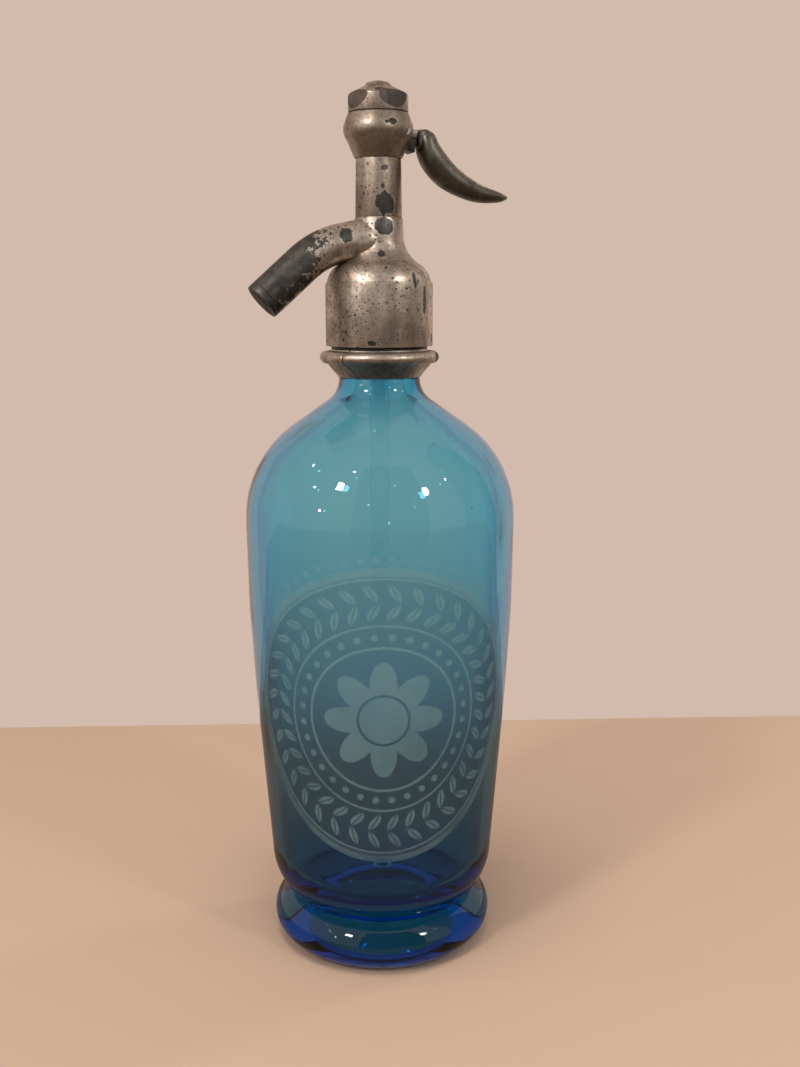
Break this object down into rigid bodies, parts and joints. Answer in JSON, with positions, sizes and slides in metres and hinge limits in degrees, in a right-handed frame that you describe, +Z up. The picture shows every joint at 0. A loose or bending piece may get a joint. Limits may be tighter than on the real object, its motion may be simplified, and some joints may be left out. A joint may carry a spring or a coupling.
{
  "type": "soda siphon",
  "caption": "Blue glass soda siphon with a worn nickel head, a bent spout and a horn-shaped lever that lifts a spring-loaded valve.",
  "frame": {"origin": "middle of the bottle's foot, on the plane it stands on", "axes": "+Z up along the bottle's axis, +X towards the lever, -X towards the spout"},
  "size_m": [0.097, 0.097, 0.31],
  "materials": {
    "blue_glass": "clear",
    "tube_glass": "clear",
    "nickel": "worn",
    "dark_metal": "worn",
    "brass": "satin",
    "steel": "satin",
    "rubber": "matte",
    "fibre": "matte",
    "leather": "matte"
  },
  "bodies": {
    "body": {"bottle": "blue_glass", "dip_tube": "tube_glass", "tube_sleeve": "rubber", "neck_gasket": "rubber", "collar_half_front": "nickel", "collar_half_rear": "nickel", "collar_packing": "fibre", "head_casting": "nickel", "valve_seat": "brass", "spout_nozzle": "nickel", "column_barrel": "nickel", "barrel_washer": "fibre", "lever_housing": "nickel", "cap_washer": "fibre", "top_cap": "nickel", "lever_pin": "steel", "piston_spring": "steel"},
    "lever": {"lever": "dark_metal"},
    "piston": {"piston_rod": "brass", "valve_cup": "brass", "valve_washer": "rubber", "cup_leather": "leather", "leather_washer": "brass", "leather_nut": "brass", "piston_head": "brass"}
  },
  "joints": [
    {"name": "lever_press", "type": "hinge", "parent": "body", "child": "lever", "pos_m": [0.007, 0, 0.293], "axis": [0, 1, 0], "range_deg": [0, 12]},
    {"name": "valve_lift", "type": "slide", "parent": "body", "child": "piston", "axis": [0, 0, 1], "range_m": [0, 0.00147], "stiffness_N_per_m": 600, "springref_m": -0.006, "deforming": ["piston_spring"]}
  ],
  "couplings": [
    {"joint": "lever_press", "follows": "valve_lift", "rad_per_m": 142.86}
  ]
}
